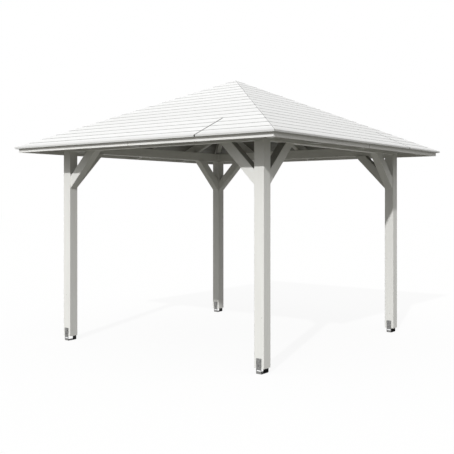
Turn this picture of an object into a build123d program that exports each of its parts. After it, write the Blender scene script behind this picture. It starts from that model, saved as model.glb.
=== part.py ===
from build123d import *
import os
from math import cos, radians, sin, sqrt, tan

# ---------------------------------------------------------------------------
# Garden gazebo: four posts on steel anchors, a ring of beams with 45 degree
# braces, and a four-sided boarded roof. Millimetres, +Z up, the origin at the
# middle of the plan on the ground. The front looks to -Y.
# ---------------------------------------------------------------------------

# Plan
frame_side = 3050.0        # outside to outside of the posts
eave_overhang = 420.0      # eave of the roof deck beyond the posts

# Posts and their anchors
post_size = 120.0
post_bottom = 56.0         # the air gap that keeps the post's end dry
post_edge = 4.0            # planed chamfer along the long edges
anchor_width = 62.0
anchor_plate = 5.0
anchor_top = 156.0
anchor_bend = 9.0          # outer radius where the strap turns up
slot_length = 50.0         # level slot through both flats, under the post's end
slot_width = 13.0
slot_height = 29.0         # middle of the slot above the ground

# Ring beams and braces
beam_underside = 2335.0
beam_height = 120.0
beam_thickness = 90.0
beam_edge = 4.0
brace_leg = 448.0          # along the post and along the beam, longer edge
brace_depth = 108.0
brace_thickness = 100.0    # set in the middle of the post's face
brace_edge = 4.0

# Roof
roof_pitch = 24.6          # degrees
seat_cut = 29.6            # rafter notched over the beam's outer top edge
deck_thickness = 19.0
rafter_width = 60.0
rafter_depth = 120.0       # square to the rafter's length
apex_flats = 150.0         # across the flats of the eight-sided apex block
apex_block_height = 170.0

# Fascia
fascia_drop = 62.0         # lower edge under the eave's upper edge
fascia_thickness = 20.0
fascia_setback = 40.0      # outer face behind the eave's upper edge
fascia_joint = 5.0         # open joint between the two lengths of a side

# Worked out from the above
half_frame = frame_side / 2
half_roof = half_frame + eave_overhang
jack_offset = half_roof / 2
post_inner = half_frame - post_size
beam_top = beam_underside + beam_height
beam_inner = half_frame - beam_thickness
fascia_outer = half_roof - fascia_setback
fascia_inner = fascia_outer - fascia_thickness
slope = tan(radians(roof_pitch))
hip_slope = slope / sqrt(2)
deck_upright = deck_thickness / cos(radians(roof_pitch))
rafter_upright = rafter_depth / cos(radians(roof_pitch))
apex_height = beam_top - seat_cut + rafter_upright + deck_upright + slope * half_frame
eave_height = apex_height - slope * half_roof
fascia_underside = eave_height - fascia_drop
hip_upright = rafter_depth * sqrt(1 + hip_slope**2)
apex_inner = apex_flats / 2
above_all = apex_height + 500.0

SIDES = {"front": 0, "right": 90, "back": 180, "left": 270}
CORNERS = {
    "front_right": 0,
    "back_right": 90,
    "back_left": 180,
    "front_left": 270,
}

os.makedirs("parts", exist_ok=True)


def save(node, shape):
    """Write one node's solids to its own file."""
    export_step(shape, f"parts/{node}.step")


def turned(shape, degrees_round):
    """The shape turned about the upright axis of the gazebo."""
    return Rot(0, 0, degrees_round) * shape


def under_deck(reach):
    """Height of the deck's underside, reach out from the middle."""
    return apex_height - deck_upright - slope * reach


def upright_profile(points, thickness):
    """A profile drawn on (reach towards the front, height), made thick in X."""
    outline = Plane.YZ * Polyline(*[(-reach, height) for reach, height in points], close=True)
    return extrude(make_face(outline), thickness / 2, both=True)


def plan_wedge():
    """The quarter of the plan that belongs to the front, from ground to sky."""
    far = half_roof + 100.0
    quarter = Polyline((0, 0), (-far, -far), (far, -far), close=True)
    return extrude(make_face(quarter), above_all)


def long_edges(solid, axis, size):
    """The solid with its edges along one axis planed off."""
    return chamfer(solid.edges().filter_by(axis), size)


def beam_ring():
    """The square band that the four beams fill together."""
    outer = Rectangle(frame_side, frame_side)
    inner = Rectangle(2 * beam_inner, 2 * beam_inner)
    return Pos(0, 0, beam_underside) * extrude(outer - inner, beam_height)


# --- Posts and anchors ------------------------------------------------------
post_centre = half_frame - post_size / 2
post_length = beam_underside - post_bottom
post = Pos(post_centre, -post_centre, post_bottom) * long_edges(
    extrude(Rectangle(post_size, post_size), post_length), Axis.Z, post_edge
)

strap_half = post_size / 2 + anchor_plate
strap = Plane.YZ * Polyline(
    (-strap_half, 0),
    (strap_half, 0),
    (strap_half, anchor_top),
    (strap_half - anchor_plate, anchor_top),
    (strap_half - anchor_plate, anchor_plate),
    (-strap_half + anchor_plate, anchor_plate),
    (-strap_half + anchor_plate, anchor_top),
    (-strap_half, anchor_top),
    close=True,
)
anchor = extrude(make_face(strap), anchor_width / 2, both=True)
turn_lines = anchor.edges().filter_by(Axis.X).group_by(Axis.Z)[0]
slot = extrude(Plane.XZ * SlotOverall(slot_length, slot_width), 2 * strap_half, both=True)
anchor = fillet(turn_lines, anchor_bend) - Pos(0, 0, slot_height) * slot
anchor = Pos(post_centre, -post_centre, 0) * anchor

for corner, angle in CORNERS.items():
    save(f"{corner}_post", turned(post, angle))

for corner, (side_x, side_y) in {
    "front_right": (1, 1),
    "front_left": (-1, 1),
    "back_right": (1, -1),
    "back_left": (-1, -1),
}.items():
    shifted = Pos((side_x - 1) * post_centre, (1 - side_y) * post_centre, 0) * anchor
    save(f"{corner}_anchor", shifted)

# --- Ring beams, half lapped over the posts ---------------------------------
beam_blank = Pos(0, -half_frame + beam_thickness / 2, beam_underside) * long_edges(
    extrude(Rectangle(frame_side, beam_thickness), beam_height), Axis.X, beam_edge
)
lap = Box(beam_thickness, beam_thickness, beam_height / 2)
lap_x = half_frame - beam_thickness / 2
lap_y = -half_frame + beam_thickness / 2
lap_high = beam_underside + 0.75 * beam_height
lap_low = beam_underside + 0.25 * beam_height
front_beam = beam_blank - [Pos(x, lap_y, lap_high) * lap for x in (-lap_x, lap_x)]
side_beam = beam_blank - [Pos(x, lap_y, lap_low) * lap for x in (-lap_x, lap_x)]
for side, angle in SIDES.items():
    beam = front_beam if side in ("front", "back") else side_beam
    save(f"{side}_beam", turned(beam, angle))

# --- Braces -----------------------------------------------------------------
short_leg = brace_leg - brace_depth * sqrt(2)
brace_outline = Plane.XZ * Polyline(
    (post_inner, beam_underside - brace_leg),
    (post_inner, beam_underside - short_leg),
    (post_inner - short_leg, beam_underside),
    (post_inner - brace_leg, beam_underside),
    close=True,
)
brace = extrude(make_face(brace_outline), brace_thickness / 2, both=True)
long_lines = [e for e in brace.edges() if abs(e.tangent_at(0.5).X) > 0.1 and abs(e.tangent_at(0.5).Z) > 0.1]
brace = chamfer(long_lines, brace_edge)
brace = Pos(0, -post_centre, 0) * brace
brace_left = mirror(brace, Plane.YZ)
NEXT_CORNER = {
    "front": ("left", "right"),
    "right": ("front", "back"),
    "back": ("right", "left"),
    "left": ("back", "front"),
}
for side, angle in SIDES.items():
    low_end, high_end = NEXT_CORNER[side]
    save(f"{side}_brace_{low_end}", turned(brace_left, angle))
    save(f"{side}_brace_{high_end}", turned(brace, angle))

# --- Rafters ----------------------------------------------------------------
ring = beam_ring()
tail_turn = (under_deck(0) - rafter_upright - fascia_underside) / slope
rafter_blank = upright_profile(
    [
        (apex_inner, under_deck(apex_inner)),
        (fascia_inner, under_deck(fascia_inner)),
        (fascia_inner, fascia_underside),
        (tail_turn, fascia_underside),
        (apex_inner, under_deck(apex_inner) - rafter_upright),
    ],
    rafter_width,
) - ring


def jack_rafter(hand):
    """One short rafter, cut off along the hip; hand is 1 on +X and -1 on -X."""
    hip_side = rafter_width / 2 * sqrt(2)
    near, far = jack_offset - rafter_width, jack_offset + rafter_width
    past_hip = Polyline(
        (hand * near, -near - hip_side),
        (hand * far, -far - hip_side),
        (hand * far, 0),
        (hand * near, 0),
        close=True,
    )
    cut_away = extrude(make_face(past_hip), above_all, dir=(0, 0, 1))
    return Pos(hand * jack_offset, 0, 0) * rafter_blank - cut_away


jack_pair = [jack_rafter(-1), jack_rafter(1)]

tent = upright_profile(
    [
        (0, under_deck(0)),
        (fascia_inner, under_deck(fascia_inner)),
        (fascia_inner, fascia_underside),
        (-fascia_inner, fascia_underside),
        (-fascia_inner, under_deck(fascia_inner)),
    ],
    2 * half_roof,
)
under_roof = tent & turned(tent, 90)
hip_reach = apex_inner / sqrt(2)
hip_outline = Plane.YZ * Polyline(
    (-hip_reach * sqrt(2), under_deck(hip_reach) - hip_upright),
    (-hip_reach * sqrt(2), above_all),
    (-half_roof * sqrt(2), above_all),
    (-half_roof * sqrt(2), under_deck(half_roof) - hip_upright),
    close=True,
)
hip_slab = turned(extrude(make_face(hip_outline), rafter_width / 2, both=True), 45)
hip = (hip_slab & under_roof) - ring

for side, angle in SIDES.items():
    save(f"{side}_middle_rafter", turned(rafter_blank, angle))
    save(f"{side}_jack_rafters", Compound([turned(jack, angle).solid() for jack in jack_pair]))
for corner, angle in CORNERS.items():
    save(f"{corner}_hip_rafter", turned(hip, angle))

apex_top = under_deck(apex_inner)
apex_block = Pos(0, 0, apex_top - apex_block_height) * extrude(
    RegularPolygon(apex_inner, 8, major_radius=False, rotation=22.5), apex_block_height
)
save("apex_block", apex_block)

# --- Fascias and roof deck --------------------------------------------------
quarter = plan_wedge()
fascia = upright_profile(
    [
        (fascia_inner, fascia_underside),
        (fascia_outer, fascia_underside),
        (fascia_outer, under_deck(fascia_outer)),
        (fascia_inner, under_deck(fascia_inner)),
    ],
    2 * half_roof,
)
fascia = (fascia & quarter) - Pos(0, -fascia_inner, fascia_underside) * Box(
    fascia_joint, 4 * fascia_thickness, 4 * half_roof / 10
)

edge_back = deck_thickness * sin(radians(roof_pitch))
edge_drop = deck_thickness * cos(radians(roof_pitch))
deck = upright_profile(
    [
        (0, apex_height),
        (half_roof, eave_height),
        (half_roof - edge_back, eave_height - edge_drop),
        (0, apex_height - deck_upright),
    ],
    2 * half_roof,
) & quarter
for side, angle in SIDES.items():
    save(f"{side}_fascia", turned(fascia, angle))
    save(f"{side}_roof_deck", turned(deck, angle))
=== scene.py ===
"""Finishes of the garden gazebo: painted timber, laid roof boards, zinced feet and a studio."""

from __future__ import annotations

import logging
import math
import random
from collections.abc import Iterable
from dataclasses import dataclass, field
from enum import Enum

import bmesh
import bpy
from mathutils import Matrix, Vector


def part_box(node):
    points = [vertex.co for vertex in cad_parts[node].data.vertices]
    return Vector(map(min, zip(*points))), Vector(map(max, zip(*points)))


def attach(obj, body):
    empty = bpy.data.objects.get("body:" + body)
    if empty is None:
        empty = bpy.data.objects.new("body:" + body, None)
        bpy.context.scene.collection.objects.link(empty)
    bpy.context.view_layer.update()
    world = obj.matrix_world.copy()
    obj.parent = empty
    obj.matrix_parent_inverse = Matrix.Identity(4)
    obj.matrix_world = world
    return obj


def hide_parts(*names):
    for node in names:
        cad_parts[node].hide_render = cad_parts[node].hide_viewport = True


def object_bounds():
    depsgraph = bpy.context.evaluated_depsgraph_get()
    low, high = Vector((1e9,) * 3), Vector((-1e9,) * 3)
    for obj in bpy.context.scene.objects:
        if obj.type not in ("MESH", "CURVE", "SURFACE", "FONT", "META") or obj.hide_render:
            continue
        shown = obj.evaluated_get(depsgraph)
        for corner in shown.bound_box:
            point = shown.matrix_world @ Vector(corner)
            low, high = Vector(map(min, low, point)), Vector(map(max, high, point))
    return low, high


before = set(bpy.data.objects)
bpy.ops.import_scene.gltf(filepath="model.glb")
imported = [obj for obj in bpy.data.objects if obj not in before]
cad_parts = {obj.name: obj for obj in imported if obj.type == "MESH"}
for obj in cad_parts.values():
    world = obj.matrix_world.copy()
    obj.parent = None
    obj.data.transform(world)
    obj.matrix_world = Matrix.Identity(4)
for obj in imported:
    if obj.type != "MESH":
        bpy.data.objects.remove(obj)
cad_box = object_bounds()

log = logging.getLogger("gazebo")

BODY = "root"
ALONG_X = Vector((1, 0, 0))
ALONG_Y = Vector((0, 1, 0))
UP = Vector((0, 0, 1))
PAINT_SPECULAR = 0.20
WHITE = (1.0, 1.0, 1.0, 1.0)
Socket = bpy.types.NodeSocket
Colour = tuple[float, float, float]
# where a fade starts and where it is full
Span = tuple[float, float]


class Place(Enum):
    """A place on the plan."""

    @property
    def label(self) -> str:
        """The place's name as the pieces carry it."""
        return self.name.lower()


class Side(Place):
    """The four sides of the plan, counted in quarter turns from the front."""

    FRONT = 0
    RIGHT = 1
    BACK = 2
    LEFT = 3

    @property
    def turn(self) -> Matrix:
        """The turn about the upright axis that carries the front to this side."""
        return Matrix.Rotation(self.value * math.pi / 2, 4, "Z")


class Corner(Place):
    """The four corners of the plan, as signs along X and Y."""

    FRONT_RIGHT = (1, -1)
    FRONT_LEFT = (-1, -1)
    BACK_RIGHT = (1, 1)
    BACK_LEFT = (-1, 1)


# --- Shader maths -------------------------------------------------------------


@dataclass(frozen=True)
class Reading:
    """A number that varies over a surface, with arithmetic that adds Math nodes."""

    sheet: Sheet
    socket: Socket

    def _math(self, operation: str, first: Reading | float, second: Reading | float = 0.0) -> Reading:
        """Adds one Math node.

        Args:
            operation: the Math node's operation.
            first: a reading or a number.
            second: a reading or a number.

        Returns:
            The reading at the node's output.
        """
        node = self.sheet.node("ShaderNodeMath", {"operation": operation}, {0: first, 1: second})
        return Reading(self.sheet, node.outputs[0])

    def __add__(self, other: Reading | float) -> Reading:
        """Sum."""
        return self._math("ADD", self, other)

    __radd__ = __add__

    def __sub__(self, other: Reading | float) -> Reading:
        """Difference."""
        return self._math("SUBTRACT", self, other)

    def __rsub__(self, other: Reading | float) -> Reading:
        """Difference, taken from a number."""
        return self._math("SUBTRACT", other, self)

    def __mul__(self, other: Reading | float) -> Reading:
        """Product."""
        return self._math("MULTIPLY", self, other)

    __rmul__ = __mul__

    def __truediv__(self, other: Reading | float) -> Reading:
        """Quotient."""
        return self._math("DIVIDE", self, other)

    def __rtruediv__(self, other: Reading | float) -> Reading:
        """Quotient of a number by the reading."""
        return self._math("DIVIDE", other, self)

    def __abs__(self) -> Reading:
        """Size without sign."""
        return self._math("ABSOLUTE", self)

    def most(self, other: Reading | float) -> Reading:
        """The larger of two."""
        return self._math("MAXIMUM", self, other)

    def fade(self, start: float, end: float) -> Reading:
        """Rises smoothly from 0 where the reading is start to 1 where it is end.

        Args:
            start: the reading that gives 0.
            end: the reading that gives 1; it may be below start.

        Returns:
            The faded reading, from 0 to 1.
        """
        node = self.sheet.node(
            "ShaderNodeMapRange",
            {"interpolation_type": "SMOOTHSTEP"},
            {"Value": self, "From Min": start, "From Max": end},
        )
        return Reading(self.sheet, node.outputs["Result"])


class Sheet:
    """The node sheet of one material or of the surroundings."""

    def __init__(self, owner: bpy.types.Material | bpy.types.World, output: str) -> None:
        """Opens an empty sheet.

        Args:
            owner: the material or world that the sheet belongs to.
            output: the type of its output node.
        """
        owner.use_nodes = True
        self.owner = owner
        self.tree = owner.node_tree
        self.tree.nodes.clear()
        self.output = self.node(output)

    @staticmethod
    def of_material(name: str) -> Sheet:
        """Opens the sheet of a new material."""
        return Sheet(bpy.data.materials.new(name), "ShaderNodeOutputMaterial")

    @staticmethod
    def of_world(name: str) -> Sheet:
        """Opens the sheet of new surroundings."""
        return Sheet(bpy.data.worlds.new(name), "ShaderNodeOutputWorld")

    def node(
        self,
        kind: str,
        settings: dict[str, object] | None = None,
        sockets: dict[str | int, object] | None = None,
    ) -> bpy.types.Node:
        """Adds one node.

        Args:
            kind: the node's type.
            settings: its own settings.
            sockets: a number, colour, vector, reading or socket for each input.

        Returns:
            The node.
        """
        node = self.tree.nodes.new(kind)
        for name, value in (settings or {}).items():
            setattr(node, name, value)
        for key, value in (sockets or {}).items():
            if isinstance(value, Reading):
                value = value.socket
            if isinstance(value, Socket):
                self.tree.links.new(value, node.inputs[key])
            else:
                node.inputs[key].default_value = value
        return node

    def position(self) -> Socket:
        """The point's place in the object's own frame, in metres."""
        return self.node("ShaderNodeTexCoord").outputs["Object"]

    def along(self, vector: Socket, direction: Vector) -> Reading:
        """How far a vector reaches along a fixed direction."""
        node = self.node("ShaderNodeVectorMath", {"operation": "DOT_PRODUCT"}, {0: vector, 1: direction})
        return Reading(self, node.outputs["Value"])

    def away(self, vector: Socket, place: Vector) -> Reading:
        """How far a point is from a fixed place."""
        node = self.node("ShaderNodeVectorMath", {"operation": "DISTANCE"}, {0: vector, 1: place})
        return Reading(self, node.outputs["Value"])

    def facing(self, direction: Vector) -> Reading:
        """How far the surface faces a direction, 1 where it looks straight that way."""
        return self.along(self.node("ShaderNodeNewGeometry").outputs["Normal"], direction)

    def joined(self, x: Reading, y: Reading, z: Reading) -> Socket:
        """A vector made of three readings."""
        return self.node("ShaderNodeCombineXYZ", None, {"X": x, "Y": y, "Z": z}).outputs[0]

    def noise(self, vector: Socket, scale: float = 1.0, detail: float = 2.0) -> Reading:
        """Soft random variation from 0 to 1 around 0.5."""
        node = self.node(
            "ShaderNodeTexNoise",
            {"noise_dimensions": "3D"},
            {"Vector": vector, "Scale": scale, "Detail": detail},
        )
        return Reading(self, node.outputs[0])

    def cells(self, vector: Socket, scale: float) -> bpy.types.Node:
        """Random cells, with the distance to the nearest centre and a colour for each."""
        return self.node("ShaderNodeTexVoronoi", {"feature": "F1"}, {"Vector": vector, "Scale": scale})

    def face_value(self, name: str) -> Reading:
        """A number that the mesh carries on each face."""
        return Reading(self, self.node("ShaderNodeAttribute", {"attribute_name": name}).outputs["Fac"])

    def mix(self, share: Reading, first: Colour | Socket, second: Colour | Socket) -> Socket:
        """Mixes two colours.

        Args:
            share: how much of the second colour shows.
            first: a colour or a colour socket.
            second: a colour or a colour socket.

        Returns:
            The colour socket.
        """
        node = self.node(
            "ShaderNodeMix",
            {"data_type": "RGBA"},
            {0: share, 6: self._rgba(first), 7: self._rgba(second)},
        )
        return node.outputs[2]

    @staticmethod
    def _rgba(colour: Colour | Socket) -> tuple[float, ...] | Socket:
        """A colour with its alpha, or the socket as it is."""
        return colour if isinstance(colour, Socket) else (*colour, 1.0)

    def bump(self, height: Reading, distance: float) -> Socket:
        """A normal raised by a height, where distance is what a height of 1 stands for in metres."""
        sockets = {"Height": height, "Distance": distance, "Strength": 1.0}
        return self.node("ShaderNodeBump", None, sockets).outputs[0]

    def blend(self, share: Reading, first: bpy.types.Node, second: bpy.types.Node) -> bpy.types.Node:
        """Mixes two shaders, where share says how much of the second shows."""
        sockets = {0: share, 1: first.outputs[0], 2: second.outputs[0]}
        return self.node("ShaderNodeMixShader", None, sockets)

    def show(self, shader: bpy.types.Node) -> bpy.types.Material | bpy.types.World:
        """Ends the sheet in a shader and gives back what it belongs to."""
        self.tree.links.new(shader.outputs[0], self.output.inputs["Surface"])
        return self.owner

    def surface(self, sockets: dict[str | int, object]) -> bpy.types.Material:
        """Ends the sheet in a plain surface shader.

        Args:
            sockets: the shader's inputs.

        Returns:
            The finished material.
        """
        return self.show(self.node("ShaderNodeBsdfPrincipled", None, sockets))

    def seen_ray(self) -> Reading:
        """Tells what is looked at from what only throws light.

        Returns:
            1 for what the eye, a reflection or glass looks at, 0 for light falling on things.
        """
        rays = self.node("ShaderNodeLightPath").outputs
        direct = Reading(self, rays["Is Camera Ray"]).most(Reading(self, rays["Is Glossy Ray"]))
        return direct.most(Reading(self, rays["Is Transmission Ray"]))


# --- Finishes -----------------------------------------------------------------


@dataclass(frozen=True)
class Grain:
    """How the wood of a timber lies: along its length, and square to two of its faces."""

    length: Vector
    broad: Vector
    narrow: Vector

    @staticmethod
    def of(length: Vector, broad: Vector) -> Grain:
        """Works out the grain of a timber.

        Args:
            length: along the timber.
            broad: square to one of its long faces.

        Returns:
            The grain.
        """
        run = length.normalized()
        face = broad.normalized()
        return Grain(run, face, run.cross(face).normalized())


@dataclass(frozen=True)
class PaintedTimber:
    """Opaque white wood paint on planed timber, with the wood's grain just telling through."""

    colour: Colour = (0.810, 0.808, 0.783)
    shade: Colour = (0.760, 0.757, 0.726)
    knot: Colour = (0.560, 0.552, 0.510)
    # the end colour is near black on end grain; on the fascias it also paints the shade down in their joints
    end: Colour = (0.150, 0.145, 0.130)
    end_grain_and_shade_share: float = 0.0
    # painted shade: a dark colour on upward faces, in uneven clouds on every timber and strong on the
    # braces' upper faces
    ledge_shade: Colour = (0.240, 0.236, 0.215)
    ledge_shade_share: float = 0.0
    ledge_shade_clouds: float = 0.2
    roughness: float = 0.58
    streak_width: float = 0.020
    streak_length: float = 0.60
    streak_detail: float = 3.0
    streak_span: Span = (0.30, 0.72)
    streak_share: float = 0.55
    streak_relief: float = 0.25
    fibre_width: float = 0.0022
    fibre_length: float = 0.080
    fibre_span: Span = (0.62, 0.80)
    fibre_share: float = 0.16
    fibre_relief: float = 0.45
    fibre_roughness: float = 0.16
    cloud_scale: float = 3.2
    cloud_share: float = 0.35
    knot_spacing: float = 0.42
    knot_squash: float = 0.62
    knot_size: float = 0.055
    knot_core: float = 0.55
    knot_share: float = 0.55
    knot_relief: float = 0.30
    knot_roughness: float = 0.10
    plug_radius: float = 0.0085
    plug_core: float = 0.0060
    arris_span: Span = (0.5, 1.0)
    arris_share: float = 0.30
    end_span: Span = (0.85, 0.97)
    ledge_span: Span = (0.60, 0.70)
    relief: float = 0.0004

    def material(self, name: str, grain: Grain, plugs: Iterable[Vector] = ()) -> bpy.types.Material:
        """Makes the paint for timbers that lie one way.

        Args:
            name: the material's name.
            grain: how the wood lies.
            plugs: where sound knots were drilled out and plugged, in metres.

        Returns:
            The material.
        """
        sheet = Sheet.of_material(name)
        place = sheet.position()
        run = sheet.along(place, grain.length)
        broad = sheet.along(place, grain.broad)
        narrow = sheet.along(place, grain.narrow)

        streak_at = sheet.joined(
            broad / self.streak_width, narrow / self.streak_width, run / self.streak_length
        )
        streaks = sheet.noise(streak_at, detail=self.streak_detail).fade(*self.streak_span)
        fibre_at = sheet.joined(broad / self.fibre_width, narrow / self.fibre_width, run / self.fibre_length)
        fibres = sheet.noise(fibre_at)
        clouds = sheet.noise(place, self.cloud_scale)

        knot_at = sheet.joined(broad, narrow, run * self.knot_squash)
        knots = Reading(sheet, sheet.cells(knot_at, 1 / self.knot_spacing).outputs["Distance"])
        knots = knots.fade(self.knot_size, self.knot_size * self.knot_core)
        for plug in plugs:
            knots = knots.most(sheet.away(place, plug).fade(self.plug_radius, self.plug_core))

        # 1 on a planed arris, which faces half one way and half the other
        arris = abs(sheet.facing(grain.broad) * sheet.facing(grain.narrow)) * 2.0
        end_grain = abs(sheet.facing(grain.length)).fade(*self.end_span)
        ledge = sheet.facing(UP).fade(*self.ledge_span)

        wash = streaks * self.streak_share + clouds * self.cloud_share
        colour = sheet.mix(wash, self.colour, self.shade)
        colour = sheet.mix(fibres.fade(*self.fibre_span) * self.fibre_share, colour, self.knot)
        colour = sheet.mix(knots * self.knot_share, colour, self.knot)
        colour = sheet.mix(arris.fade(*self.arris_span) * clouds * self.arris_share, colour, self.knot)
        # end grain is mixed dark: darker end grain, and on the fascias painted shade in the joints
        colour = sheet.mix(end_grain * self.end_grain_and_shade_share, colour, self.end)
        # upward faces are mixed towards a dark colour as painted shade
        colour = sheet.mix(ledge * (clouds * self.ledge_shade_clouds + self.ledge_shade_share), colour, self.ledge_shade)
        relief = streaks * self.streak_relief + fibres * self.fibre_relief - knots * self.knot_relief
        dulling = (fibres - 0.5) * self.fibre_roughness
        return sheet.surface(
            {
                "Base Color": colour,
                "Roughness": self.roughness + dulling + knots * self.knot_roughness,
                "Specular IOR Level": PAINT_SPECULAR,
                "Normal": sheet.bump(relief, self.relief),
            }
        )


@dataclass(frozen=True)
class RoofPaint:
    """White paint on tongued roof boards, each board a little different."""

    colour: Colour = (0.764, 0.766, 0.760)
    shade: Colour = (0.712, 0.713, 0.705)
    # the groove colour is painted shade in the grooves, board ends and end tongues, and the colour of the
    # knots
    groove: Colour = (0.115, 0.114, 0.108)
    # the soffit colour is painted shade on the boards' undersides
    soffit: Colour = (0.225, 0.219, 0.184)
    soffit_share: float = 0.8
    lip_height: float = 0.035
    lip_solid: float = 0.4
    lip_share: float = 0.13
    face_span: Span = (0.60, 0.80)
    tone_share: float = 0.55
    tone_shift: float = 9.0
    knot_shift: float = 5.0
    streak_width: float = 0.011
    streak_length: float = 0.55
    streak_detail: float = 3.0
    streak_span: Span = (0.35, 0.75)
    streak_share: float = 0.35
    streak_relief: float = 0.3
    fibre_width: float = 0.0021
    fibre_length: float = 0.075
    fibre_relief: float = 0.5
    fibre_roughness: float = 0.18
    knot_scale: float = 2.1
    knot_squash: float = 0.8
    knot_size: float = 0.050
    knot_core: float = 0.028
    knot_share: float = 0.10
    knot_relief: float = 0.2
    groove_roughness: float = 0.25
    roughness: float = 0.56
    relief: float = 0.0004

    def material(self, eave: float) -> bpy.types.Material:
        """Makes the paint, which reads each board's own length and width.

        Args:
            eave: height of the eave; the board tops just above it are coloured darker.

        Returns:
            The material.
        """
        sheet = Sheet.of_material("roof_paint")
        laid = sheet.node("ShaderNodeUVMap", {"uv_map": "laid"}).outputs["UV"]
        run = sheet.along(laid, ALONG_X)
        across = sheet.along(laid, ALONG_Y)
        tone = sheet.face_value("tone")
        groove = sheet.face_value("groove")

        # the board's own tone moves the pattern on, so that no two boards are alike
        shift = tone * self.tone_shift
        streak_at = sheet.joined(run / self.streak_length, across / self.streak_width, shift)
        streaks = sheet.noise(streak_at, detail=self.streak_detail)
        fibre_at = sheet.joined(run / self.fibre_length, across / self.fibre_width, shift)
        fibres = sheet.noise(fibre_at)
        knot_at = sheet.joined(run * self.knot_squash, across, tone * self.knot_shift)
        knots = Reading(sheet, sheet.cells(knot_at, self.knot_scale).outputs["Distance"])
        knots = knots.fade(self.knot_size, self.knot_core)

        # board tops just above the eave are mixed towards the dark groove colour
        above_eave = sheet.along(sheet.position(), UP) - eave
        lip = above_eave.fade(self.lip_height, self.lip_height * self.lip_solid)
        lip = lip * sheet.facing(UP).fade(*self.face_span)
        under = sheet.facing(-UP).fade(*self.face_span)

        wash = tone * self.tone_share + streaks.fade(*self.streak_span) * self.streak_share
        colour = sheet.mix(wash, self.colour, self.shade)
        colour = sheet.mix(knots * self.knot_share, colour, self.groove)
        # grooves, board ends and tongues take the groove colour: painted shade in the recesses
        colour = sheet.mix(groove, colour, self.groove)
        colour = sheet.mix(lip * self.lip_share, colour, self.groove)
        # undersides take a dark colour, streaked towards the groove colour: painted shade under the roof
        soffit = sheet.mix(streaks * self.soffit_share, self.soffit, self.groove)
        colour = sheet.mix(under, colour, soffit)
        relief = streaks * self.streak_relief + fibres * self.fibre_relief - knots * self.knot_relief
        dulling = (fibres - 0.5) * self.fibre_roughness
        return sheet.surface(
            {
                "Base Color": colour,
                "Roughness": self.roughness + dulling + groove * self.groove_roughness,
                "Specular IOR Level": PAINT_SPECULAR,
                "Normal": sheet.bump(relief, self.relief),
            }
        )


@dataclass(frozen=True)
class Zinc:
    """Hot-dip zinc on steel, dull and spangled, near black on the faces that the mesh marks: bare sheared
    edges, and painted shade inside the U.
    """

    name: str = "hot_dip_zinc"
    colour: Colour = (0.300, 0.300, 0.294)
    dark: Colour = (0.170, 0.170, 0.165)
    # near black for the marked faces: painted shade inside the U and on the shaded edges
    cut_and_shade: Colour = (0.012, 0.012, 0.012)
    cut_and_shade_share: float = 0.93
    cut_and_shade_clouds: float = 0.06
    metallic: float = 0.75
    roughness: float = 0.52
    spangle: float = 0.009
    spangle_share: float = 0.55
    spangle_relief: float = 0.5
    spangle_roughness: float = 0.22
    cloud_scale: float = 55.0
    cloud_detail: float = 3.0
    cloud_span: Span = (0.35, 0.75)
    cloud_share: float = 0.35
    cloud_relief: float = 0.5
    run_scale: tuple[float, float, float] = (90.0, 90.0, 12.0)
    run_roughness: float = 0.12
    relief: float = 0.0003

    def material(self) -> bpy.types.Material:
        """Makes the zinc.

        Returns:
            The material.
        """
        sheet = Sheet.of_material(self.name)
        place = sheet.position()
        # each spangle's tint is the mean of two channels of its random colour
        flakes = sheet.cells(place, 1 / self.spangle)
        tint = sheet.along(flakes.outputs["Color"], (ALONG_X + ALONG_Y) / 2)
        clouds = sheet.noise(place, self.cloud_scale, self.cloud_detail)
        axes = Matrix.Diagonal(self.run_scale)
        runs = sheet.noise(sheet.joined(*(sheet.along(place, axis) for axis in axes)))
        wash = tint * self.spangle_share + clouds.fade(*self.cloud_span) * self.cloud_share
        colour = sheet.mix(wash, self.colour, self.dark)
        # marked faces are mixed towards near black: painted shade
        cut_and_shade = sheet.face_value("cut_and_shade") * (clouds * self.cut_and_shade_clouds + self.cut_and_shade_share)
        colour = sheet.mix(cut_and_shade, colour, self.cut_and_shade)
        dulling = (tint - 0.5) * self.spangle_roughness
        relief = tint * self.spangle_relief + clouds * self.cloud_relief
        return sheet.surface(
            {
                "Base Color": colour,
                "Metallic": self.metallic,
                "Roughness": self.roughness + dulling + (runs - 0.5) * self.run_roughness,
                "Normal": sheet.bump(relief, self.relief),
            }
        )


@dataclass(frozen=True)
class StudioFloor:
    """A plain pale floor that shows white and keeps a soft shadow."""

    bounce: Colour = (0.208, 0.205, 0.182)
    seen: Colour = (0.93, 0.93, 0.92)
    speck: Colour = (0.90, 0.90, 0.89)
    speck_scale: float = 40.0
    speck_span: Span = (0.3, 0.8)
    speck_share: float = 0.2
    glow_share: float = 0.90

    def material(self) -> bpy.types.Material:
        """Makes the floor's surface.

        Returns:
            The material.
        """
        sheet = Sheet.of_material("studio_floor")
        direct = sheet.seen_ray()
        specks = sheet.noise(sheet.position(), self.speck_scale).fade(*self.speck_span)
        seen = sheet.mix(specks * self.speck_share, self.seen, self.speck)
        lit = sheet.node("ShaderNodeBsdfDiffuse", None, {"Color": sheet.mix(direct, self.bounce, seen)})
        glow = sheet.node("ShaderNodeEmission", None, {"Color": WHITE, "Strength": 1.0})
        return sheet.show(sheet.blend(direct * self.glow_share, lit, glow))


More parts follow.
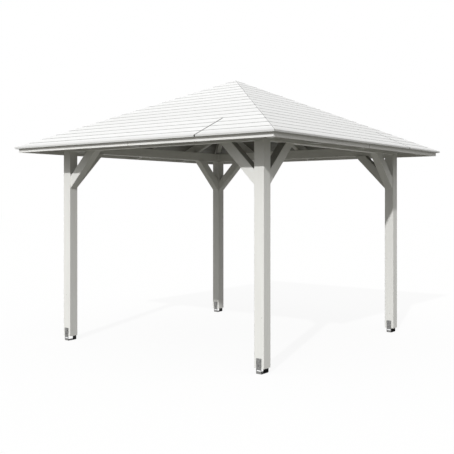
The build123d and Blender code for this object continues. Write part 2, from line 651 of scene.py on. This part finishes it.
@dataclass(frozen=True)
class StudioSky:
    """Soft light from all round, brightest overhead and in front, before a white backdrop."""

    base: float = 0.20
    lean: tuple[float, float, float] = (0.09, -0.26, 0.71)
    dark: Colour = (0.0, 0.0, 0.0)
    bright: Colour = (1.0, 1.0, 1.0)

    def world(self) -> bpy.types.World:
        """Makes the surroundings.

        Returns:
            The world.
        """
        sheet = Sheet.of_world("studio")
        direction = sheet.node("ShaderNodeTexCoord").outputs["Generated"]
        share = sheet.along(direction, Vector(self.lean)) + self.base
        colour = sheet.mix(share.most(0.0), self.dark, self.bright)
        soft = sheet.node("ShaderNodeBackground", None, {"Color": colour, "Strength": 1.0})
        white = sheet.node("ShaderNodeBackground", None, {"Color": WHITE, "Strength": 1.0})
        return sheet.show(sheet.blend(sheet.seen_ray(), soft, white))


# --- Mesh helpers -------------------------------------------------------------

Mesh = bmesh.types.BMesh
Layer = bmesh.types.BMLayerItem


def dress(node: str, material: bpy.types.Material) -> None:
    """Gives a built node its finish.

    Args:
        node: the node's name.
        material: its finish.
    """
    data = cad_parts[node].data
    data.materials.clear()
    data.materials.append(material)
    log.info("%s wears %s", node, material.name)


def finished_piece(name: str, shape: Mesh, material: bpy.types.Material) -> bpy.types.Object:
    """Turns a shape into a piece that rides on the gazebo.

    Args:
        name: the piece's name.
        shape: its mesh, used up here.
        material: its finish.

    Returns:
        The piece.
    """
    data = bpy.data.meshes.new(name)
    bmesh.ops.recalc_face_normals(shape, faces=shape.faces)
    shape.to_mesh(data)
    shape.free()
    data.materials.append(material)
    piece = bpy.data.objects.new(name, data)
    bpy.context.scene.collection.objects.link(piece)
    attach(piece, BODY)
    log.info("%s has %d faces", name, len(data.polygons))
    return piece


# --- Timbers ------------------------------------------------------------------


@dataclass
class Timbers:
    """Posts, ring beams, braces, rafters, apex block and fascias, which keep their built shape."""

    paint: PaintedTimber = field(default_factory=PaintedTimber)
    # the fascias' ends take the dark end colour almost fully, as painted shade in their joints
    fascia_paint: PaintedTimber = field(
        default_factory=lambda: PaintedTimber(
            colour=(0.890, 0.887, 0.870), shade=(0.845, 0.841, 0.820), knot_size=0.040, end_grain_and_shade_share=0.9
        )
    )
    # the braces' upper faces, in the roof's shade, get strong painted shade
    brace_paint: PaintedTimber = field(default_factory=lambda: PaintedTimber(ledge_shade_share=0.75))
    # a darker copy of the white paint for the rafters: painted shade under the roof
    rafter_paint: PaintedTimber = field(
        default_factory=lambda: PaintedTimber(colour=(0.690, 0.688, 0.662), shade=(0.645, 0.642, 0.616))
    )
    # the post, and the plug's place across its front face and above the ground
    plugs: tuple[tuple[Corner, float, float], ...] = (
        (Corner.FRONT_RIGHT, 0.095, 0.564),
        (Corner.FRONT_LEFT, 0.051, 0.566),
        (Corner.BACK_RIGHT, 0.071, 0.248),
        (Corner.BACK_RIGHT, 0.030, 0.975),
    )

    def dress(self) -> None:
        """Gives every timber its paint, with the grain along its length."""
        self._dress_posts()
        self._dress_ring()
        self._dress_braces()
        self._dress_rafters()
        self._dress_fascias()

    def _dress_posts(self) -> None:
        """Paints the four posts."""
        plugs = []
        for corner, across, height in self.plugs:
            low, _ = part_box(f"{corner.label}_post")
            plugs.append(Vector((low.x + across, low.y, height)))
        upright = self.paint.material("paint_on_posts", Grain.of(UP, ALONG_X), plugs)
        for corner in Corner:
            dress(f"{corner.label}_post", upright)

    def _dress_ring(self) -> None:
        """Paints the ring beams, two along each direction, and the apex block."""
        along_x = self.paint.material("paint_on_long_beams", Grain.of(ALONG_X, ALONG_Y))
        along_y = self.paint.material("paint_on_cross_beams", Grain.of(ALONG_Y, ALONG_X))
        for side in Side:
            dress(f"{side.label}_beam", along_x if side.value % 2 == 0 else along_y)
        upright = self.paint.material("paint_on_apex_block", Grain.of(UP, ALONG_X))
        dress("apex_block", upright)

    def _dress_braces(self) -> None:
        """Paints the braces, which lean four ways."""
        leaning = {}
        for side in Side:
            turn = side.turn.to_3x3()
            run = turn @ ALONG_X
            braces = sorted(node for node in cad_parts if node.startswith(f"{side.label}_brace_"))
            for node in braces:
                low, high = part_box(node)
                outward = 1 if (low + high).dot(run) > 0 else -1
                lean = run * outward - UP
                key = tuple(round(part) for part in lean)
                if key not in leaning:
                    name = f"paint_on_braces_{len(leaning) + 1}"
                    leaning[key] = self.brace_paint.material(name, Grain.of(lean, turn @ -ALONG_Y))
                dress(node, leaning[key])

    def _dress_rafters(self) -> None:
        """Paints the rafters, each along its own slope."""
        pitch = Roof.from_frame().pitch
        for side in Side:
            turn = side.turn.to_3x3()
            down = turn @ Vector((0, -math.cos(pitch), -math.sin(pitch)))
            grain = Grain.of(down, turn @ ALONG_X)
            common = self.rafter_paint.material(f"paint_on_{side.label}_rafters", grain)
            dress(f"{side.label}_middle_rafter", common)
            dress(f"{side.label}_jack_rafters", common)
        for corner in Corner:
            x, y = corner.value
            grain = Grain.of(Vector((x, y, -math.tan(pitch))), Vector((y, -x, 0)))
            hip = self.rafter_paint.material(f"paint_on_{corner.label}_hip", grain)
            dress(f"{corner.label}_hip_rafter", hip)

    def _dress_fascias(self) -> None:
        """Paints the fascia boards."""
        along_x = self.fascia_paint.material("paint_on_long_fascias", Grain.of(ALONG_X, ALONG_Y))
        along_y = self.fascia_paint.material("paint_on_side_fascias", Grain.of(ALONG_Y, ALONG_X))
        for side in Side:
            dress(f"{side.label}_fascia", along_x if side.value % 2 == 0 else along_y)


# --- Roof boards --------------------------------------------------------------


@dataclass(frozen=True)
class Roof:
    """The roof's main sizes, read from the built deck."""

    reach: float
    eave: float
    apex: float

    @staticmethod
    def from_frame() -> Roof:
        """Reads the sizes from the front deck's eave and apex.

        Returns:
            The roof's sizes, in metres.
        """
        points = [vertex.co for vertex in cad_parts["front_roof_deck"].data.vertices]
        lip = min(points, key=lambda point: point.y)
        return Roof(-lip.y, lip.z, max(point.z for point in points))

    @property
    def pitch(self) -> float:
        """The slope's angle from level."""
        return math.atan2(self.apex - self.eave, self.reach)

    @property
    def slope_length(self) -> float:
        """From the eave to the apex, up the slope."""
        return math.hypot(self.apex - self.eave, self.reach)

    def point(self, across: float, up: float, out: float) -> Vector:
        """A point of the front slope.

        Args:
            across: along the eave, from the middle.
            up: up the slope from the eave's upper edge.
            out: square out of the slope, below it where negative.

        Returns:
            The point, in metres.
        """
        reach = self.reach_at(up, out)
        height = self.eave + up * math.sin(self.pitch) + out * math.cos(self.pitch)
        return Vector((across, -reach, height))

    def from_eave(self, inward: float, drop: float) -> tuple[float, float]:
        """Places up and out of the slope of a point inward of and below the eave's upper edge."""
        level, rise = math.cos(self.pitch), math.sin(self.pitch)
        return inward * level - drop * rise, -inward * rise - drop * level

    def reach_at(self, up: float, out: float) -> float:
        """How far from the middle of the plan a point of the slope lies."""
        return self.reach - up * math.cos(self.pitch) + out * math.sin(self.pitch)


@dataclass
class RoofBoards:
    """Tongued boards laid level on each slope, mitred at the hips."""

    paint: RoofPaint = field(default_factory=RoofPaint)
    cover: float = 0.12725
    thickness: float = 0.019
    arris: float = 0.0050
    arris_drop: float = 0.0045
    # how much painted groove shade the arris faces take
    arris_shade: float = 0.85
    gap: float = 0.0020
    joint: float = 0.0085
    eave_lean: float = 0.004
    eave_face: float = 0.0175
    tongue: float = 0.006
    tongue_top: float = 0.0070
    tongue_bottom: float = 0.0120
    play: float = 0.0003
    hip_gap: float = 0.0023
    apex_gap: float = 0.010
    least_half: float = 0.0005
    pattern_reach: float = 9.0
    # the slope, and the middle of its butt joint along the eave
    joints: tuple[tuple[Side, float], ...] = (
        (Side.FRONT, 0.976),
        (Side.RIGHT, 0.994),
        (Side.BACK, 0.976),
        (Side.LEFT, 0.994),
    )
    jointed_rows: int = 4
    seed: int = 5

    def build(self) -> None:
        """Lays all four slopes, each as one piece in place of its plain deck."""
        roof = Roof.from_frame()
        chance = random.Random(self.seed)
        material = self.paint.material(roof.eave)
        for side, joint_at in self.joints:
            joint = (joint_at - self.joint / 2, joint_at + self.joint / 2)
            shape = bmesh.new()
            tone = shape.faces.layers.float.new("tone")
            groove = shape.faces.layers.float.new("groove")
            laid = shape.loops.layers.uv.new("laid")
            layers = (tone, groove, laid)
            for row in range(math.ceil(roof.slope_length / self.cover)):
                section = self._section(roof, row)
                for ends in self._lengths(row, joint):
                    self._lay(shape, layers, roof, section, ends, chance)
                if row < self.jointed_rows:
                    self._end_tongue(shape, groove, roof, row, joint)
            shape.transform(side.turn)
            piece = finished_piece(f"{side.label}_roof_boards", shape, material)
            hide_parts(f"{side.label}_roof_deck")

    def _lengths(self, row: int, joint: tuple[float, float]) -> list[tuple[float | None, float | None]]:
        """Divides a row into boards.

        Args:
            row: the row, 0 at the eave.
            joint: where the joint opens and closes, along the eave.

        Returns:
            Where each board starts and ends; None is a mitre at the hip.
        """
        if row >= self.jointed_rows:
            return [(None, None)]
        return [(None, joint[0]), (joint[1], None)]

    def _end_tongue(
        self, shape: Mesh, groove: Layer, roof: Roof, row: int, joint: tuple[float, float]
    ) -> None:
        """Adds the tongue that joins two boards end to end, seen down in the joint and coloured dark as
        painted shade there.

        Args:
            shape: the slope's mesh.
            groove: its groove layer.
            roof: the roof's sizes.
            row: the row, 0 at the eave.
            joint: where the joint opens and closes, along the eave.
        """
        low = row * self.cover + (self.gap if row else self.tongue)
        high = (row + 1) * self.cover - self.gap
        top, bottom = -self.tongue_top, -self.tongue_bottom
        outline = ((low, bottom), (low, top), (high, top), (high, bottom))
        rings = []
        for across in joint:
            rings.append([shape.verts.new(roof.point(across, up, out)) for up, out in outline])
        near, far = rings
        loops = [near, far]
        for index in range(len(outline)):
            loops.append((near[index - 1], far[index - 1], far[index], near[index]))
        for loop in loops:
            shape.faces.new(loop)[groove] = 1.0

    def _section(self, roof: Roof, row: int) -> list[tuple[float, float, float]]:
        """The board's outline, as places up and out of the slope.

        Args:
            roof: the roof's sizes.
            row: the row, 0 at the eave.

        Returns:
            Points in order round the section; the third value says how much of the groove's
            painted shade the face from this point to the next takes.
        """
        low = row * self.cover + (self.gap / 2 if row else 0.0)
        high = min((row + 1) * self.cover - self.gap / 2, roof.slope_length - self.apex_gap)
        top, bottom = 0.0, -self.thickness
        painted_shade = self.arris_shade
        outline = [
            (low, top - self.arris_drop if row else top, painted_shade if row else 0.0),
            (low + self.arris, top, 0.0),
            (high - self.arris, top, painted_shade),
            (high, top - self.arris_drop, 1.0),
            (high, -self.tongue_top, 1.0),
            (high + self.tongue, -self.tongue_top, 1.0),
            (high + self.tongue, -self.tongue_bottom, 1.0),
            (high, -self.tongue_bottom, 1.0),
            (high, bottom + self.arris_drop, painted_shade),
            (high - self.arris, bottom, 0.0),
        ]
        if row:
            deep = low + self.tongue + self.play
            outline += [
                (low + self.arris, bottom, painted_shade),
                (low, bottom + self.arris_drop, 1.0),
                (low, -self.tongue_bottom - self.play, 1.0),
                (deep, -self.tongue_bottom - self.play, 1.0),
                (deep, -self.tongue_top + self.play, 1.0),
                (low, -self.tongue_top + self.play, 1.0),
            ]
        else:
            up, out = roof.from_eave(self.eave_lean, self.eave_face)
            outline += [(up + self.thickness + out, bottom, 0.0), (up, out, 0.0)]
        return outline

    def _lay(
        self,
        shape: Mesh,
        layers: tuple[Layer, Layer, Layer],
        roof: Roof,
        section: list[tuple[float, float, float]],
        ends: tuple[float | None, float | None],
        chance: random.Random,
    ) -> None:
        """Adds one board to the slope's mesh.

        Args:
            shape: the slope's mesh.
            layers: its tone, groove and laid layers.
            roof: the roof's sizes.
            section: the board's outline.
            ends: where it starts and ends, None at a hip.
            chance: the source of each board's own tone.
        """
        tone, groove, laid = layers
        board_tone = chance.random()
        shift = Vector((chance.uniform(0, self.pattern_reach), chance.uniform(0, self.pattern_reach)))
        stations = []
        for hand, end in zip((-1, 1), ends):
            if end is None:
                stations.append((hand, None, False))
            else:
                stations += [(hand, end, True), (hand, end - hand * self.arris, False)][::-hand]
        rings = []
        for hand, end, planed in stations:
            ring = []
            for up, out, _ in section:
                mitre = hand * max(roof.reach_at(up, out) - self.hip_gap, self.least_half)
                level = min(out, -self.arris_drop) if planed else out
                ring.append(shape.verts.new(roof.point(mitre if end is None else end, up, level)))
            rings.append(ring)
        faces = []
        count = len(section)
        for number, (ring, after) in enumerate(zip(rings, rings[1:])):
            at_end = stations[number][2] or stations[number + 1][2]
            for index in range(count):
                following = (index + 1) % count
                corners = (ring[index], after[index], after[following], ring[following])
                face = shape.faces.new(corners)
                # board ends and groove faces take the groove colour as painted shade
                face[groove] = 1.0 if at_end else section[index][2]
                faces.append(face)
        for ring in (rings[0], rings[-1]):
            face = shape.faces.new(ring)
            face[groove] = 1.0
            faces.append(face)
        places = {vert: (vert.co.x, up + out) for ring in rings for vert, (up, out, _) in zip(ring, section)}
        for face in faces:
            face[tone] = board_tone
            for loop in face.loops:
                loop[laid].uv = Vector(places[loop.vert]) + shift


# --- Anchors ------------------------------------------------------------------

# a strap is three lanes wide, and the slot runs down the middle one
LANES = 3
SLOT_LANE = 1
Row = list[list[bmesh.types.BMVert]]


@dataclass
class Strap:
    """A flat steel bar bent up into a square U, with a level slot through its front flat."""

    thickness: float = 0.005
    bend: float = 0.009
    bend_steps: int = 6
    slot_length: float = 0.054
    slot_width: float = 0.013
    slot_height: float = 0.034
    slot_steps: int = 8
    # how dark the flats' sheared top ends are painted: painted shade
    top_cut_and_shade: float = 0.6

    def _stations(self, reach: float, top: float) -> list[tuple[Vector, Vector, float, bool]]:
        """Walks the bar from the top of the front flat to the top of the back flat.

        Args:
            reach: from the middle to the outside of a flat.
            top: height of the flats.

        Returns:
            For each station its outer and inner point in (y, z), the half width at which
            the slot's edge would lie, and whether the slot is open up to the next station.
        """
        radius = self.slot_width / 2
        straight = self.slot_length / 2 - radius
        inner = reach - self.thickness
        stations = [(Vector((-reach, top)), Vector((-inner, top)), straight, False)]
        for step in range(self.slot_steps + 1):
            turn = math.pi * step / self.slot_steps
            level = self.slot_height + radius * math.cos(turn)
            edge = straight + radius * math.sin(turn)
            is_open = step < self.slot_steps
            stations.append((Vector((-reach, level)), Vector((-inner, level)), edge, is_open))
        for hand, first in ((-1, math.pi), (1, 1.5 * math.pi)):
            centre = Vector((hand * (reach - self.bend), self.bend))
            for step in range(self.bend_steps + 1):
                turn = first + math.pi / 2 * step / self.bend_steps
                ray = Vector((math.cos(turn), math.sin(turn)))
                outside, inside = centre + ray * self.bend, centre + ray * (self.bend - self.thickness)
                stations.append((outside, inside, straight, False))
        stations.append((Vector((reach, top)), Vector((inner, top)), straight, False))
        return stations

    def shape(self, low: Vector, high: Vector) -> Mesh:
        """Makes the strap in its place.

        Args:
            low: its lowest corner.
            high: its highest corner.

        Returns:
            The mesh; a face layer is 1 on the sheared edges and inside the U, which the zinc paints near
            black as painted shade.
        """
        shape = bmesh.new()
        cut_and_shade = shape.faces.layers.float.new("cut_and_shade")
        middle, half = (low + high) / 2, (high.x - low.x) / 2
        stations = self._stations((high.y - low.y) / 2, high.z - low.z)
        rows = []
        for outer, inner, edge, _ in stations:
            row = []
            for point in (outer, inner):
                places = [middle.x + across for across in (-half, -edge, edge, half)]
                y, z = middle.y + point.x, low.z + point.y
                row.append([shape.verts.new((x, y, z)) for x in places])
            rows.append(row)
        for index, (row, after) in enumerate(zip(rows, rows[1:])):
            is_open = stations[index][3]
            for corners, painted_shade in self._stretch(row, after, is_open):
                shape.faces.new(corners)[cut_and_shade] = painted_shade
            if is_open != stations[index - 1][3]:
                shape.faces.new(self._across(row, SLOT_LANE))[cut_and_shade] = 1.0
        for row in (rows[0], rows[-1]):
            for lane in range(LANES):
                shape.faces.new(self._across(row, lane))[cut_and_shade] = self.top_cut_and_shade
        return shape

    @staticmethod
    def _across(row: Row, lane: int) -> tuple[bmesh.types.BMVert, ...]:
        """The corners of a face through the bar's thickness, in one lane."""
        return row[0][lane], row[0][lane + 1], row[1][lane + 1], row[1][lane]

    @staticmethod
    def _stretch(row: Row, after: Row, is_open: bool) -> list[tuple[tuple[bmesh.types.BMVert, ...], float]]:
        """The faces between two stations.

        Args:
            row: the first station's points, outer and inner, each in four across the bar.
            after: the next station's points.
            is_open: whether the slot runs between them.

        Returns:
            The corners of each face with its share of painted shade.
        """
        faces = []
        # the inner faces of the U and the edges get full painted shade
        for layer, painted_shade in ((0, 0.0), (1, 1.0)):
            near, far = row[layer], after[layer]
            for lane in range(LANES):
                if not (is_open and lane == SLOT_LANE):
                    faces.append(((near[lane], near[lane + 1], far[lane + 1], far[lane]), painted_shade))
        edges = range(LANES + 1) if is_open else (0, LANES)
        for edge in edges:
            faces.append(((row[0][edge], after[0][edge], after[1][edge], row[1][edge]), 1.0))
        return faces


@dataclass
class Anchors:
    """Zinced straps under the posts, each flat held by two coach screws."""

    zinc: Zinc = field(default_factory=Zinc)
    screw_zinc: Zinc = field(
        default_factory=lambda: Zinc(
            name="screw_zinc",
            colour=(0.330, 0.330, 0.324),
            dark=(0.200, 0.200, 0.196),
            roughness=0.46,
            spangle=0.004,
        )
    )
    strap: Strap = field(default_factory=Strap)
    head_flats: float = 0.017
    head_height: float = 0.0065
    head_sides: int = 6
    head_round: float = 0.0007
    head_steps: int = 2
    washer_radius: float = 0.0125
    washer_height: float = 0.0020
    washer_taper: float = 0.0005
    washer_sides: int = 24
    # across the flat from its middle, and above the ground
    screw_places: tuple[tuple[float, float], ...] = ((-0.013, 0.084), (0.013, 0.130))

    def build(self) -> None:
        """Bends the straps and sets the screws."""
        zinc = self.zinc.material()
        steel = self.screw_zinc.material()
        for corner in Corner:
            node = f"{corner.label}_anchor"
            low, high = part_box(node)
            bar = self.strap.shape(low, high)
            strap = finished_piece(f"{corner.label}_strap", bar, zinc)
            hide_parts(node)
            middle = (low + high) / 2
            shape = bmesh.new()
            for outward, face in ((-1, low.y), (1, high.y)):
                for across, height in self.screw_places:
                    self._screw(shape, Vector((middle.x + across, face, height)), outward)
            finished_piece(f"{corner.label}_anchor_screws", shape, steel)

    def _screw(self, shape: Mesh, place: Vector, outward: int) -> None:
        """Adds a washer and a hexagon head.

        Args:
            shape: the mesh of the anchor's screws.
            place: where the screw meets the strap.
            outward: 1 where the strap faces +Y and -1 where it faces -Y.
        """
        lay = Matrix.Translation(place) @ Matrix.Rotation(-outward * math.pi / 2, 4, "X")
        seat, rim = self.washer_height, self.washer_radius
        washer = [(0.0, rim), (seat, rim - self.washer_taper)]
        self._turned(shape, lay, self.washer_sides, washer)
        crown, radius = seat + self.head_height, self.head_flats / math.sqrt(3)
        head = [(seat, radius)]
        for step in range(self.head_steps + 1):
            turn = math.pi / 2 * step / self.head_steps
            drop, inset = self.head_round * (1 - math.sin(turn)), self.head_round * (1 - math.cos(turn))
            head.append((crown - drop, radius - inset))
        self._turned(shape, lay, self.head_sides, head)

    @staticmethod
    def _turned(shape: Mesh, lay: Matrix, sides: int, outline: list[tuple[float, float]]) -> None:
        """Adds a solid made of level rings.

        Args:
            shape: the mesh of the anchor's screws.
            lay: the screw's place, with its axis along Z.
            sides: how many sides the solid has.
            outline: height and radius of each ring, from the strap outward.
        """
        rings = []
        for height, radius in outline:
            ring = []
            for step in range(sides):
                turn = 2 * math.pi * step / sides
                place = Vector((radius * math.sin(turn), radius * math.cos(turn), height))
                ring.append(shape.verts.new(lay @ place))
            rings.append(ring)
        for ring, after in zip(rings, rings[1:]):
            for index in range(sides):
                shape.faces.new((ring[index - 1], ring[index], after[index], after[index - 1]))
        for cap in (rings[0], rings[-1]):
            shape.faces.new(cap)


# --- Studio -------------------------------------------------------------------


@dataclass
class Studio:
    """Floor, light and camera."""

    floor: StudioFloor = field(default_factory=StudioFloor)
    floor_half: float = 60.0
    floor_drop: float = 0.0006
    sun_from: tuple[float, float, float] = (0.36, -1.0, 0.656)
    sun_strength: float = 2.32
    sun_spread: float = 1.2
    sky: StudioSky = field(default_factory=StudioSky)
    camera_place: tuple[float, float, float] = (5.7496, -7.4871, 1.7351)
    camera_turn: float = 37.254
    lens: float = 58.31
    sensor: float = 36.0
    shift: tuple[float, float] = (-0.0263, -0.0587)

    def build(self) -> None:
        """Sets up the whole studio."""
        self._lay_floor()
        self._set_lights()
        self._set_camera()
        bpy.context.scene.view_settings.view_transform = "Standard"

    def _lay_floor(self) -> None:
        """Lays the floor just under the feet."""
        half, level = self.floor_half, cad_box[0][2] - self.floor_drop
        data = bpy.data.meshes.new("studio_floor")
        corners = [(-half, -half, level), (half, -half, level), (half, half, level), (-half, half, level)]
        data.from_pydata(corners, [], [(0, 1, 2, 3)])
        data.materials.append(self.floor.material())
        floor = bpy.data.objects.new("studio_floor", data)
        bpy.context.scene.collection.objects.link(floor)
        log.info("studio_floor is %.0f m wide", 2 * half)

    def _set_lights(self) -> None:
        """Sets one lamp as far off as the sun, and the light from all round."""
        lamp = bpy.data.lights.new("key_lamp", "SUN")
        lamp.energy = self.sun_strength
        lamp.angle = math.radians(self.sun_spread)
        key = bpy.data.objects.new("key_lamp", lamp)
        key.rotation_euler = Vector(self.sun_from).to_track_quat("Z", "Y").to_euler()
        bpy.context.scene.collection.objects.link(key)

        bpy.context.scene.world = self.sky.world()
        log.info("key_lamp and studio light are up")

    def _set_camera(self) -> None:
        """Sets the camera at a standing person's height, level, off the front right corner."""
        data = bpy.data.cameras.new("camera")
        data.lens = self.lens
        data.sensor_width = self.sensor
        data.shift_x, data.shift_y = self.shift
        camera = bpy.data.objects.new("camera", data)
        camera.location = self.camera_place
        camera.rotation_euler = (math.pi / 2, 0.0, math.radians(self.camera_turn))
        bpy.context.scene.collection.objects.link(camera)
        bpy.context.scene.camera = camera


def main() -> None:
    """Builds and dresses the gazebo in order."""
    logging.basicConfig(level=logging.INFO, format="%(name)s: %(message)s")
    Timbers().dress()
    RoofBoards().build()
    Anchors().build()
    Studio().build()


if __name__ == "__main__":
    main()
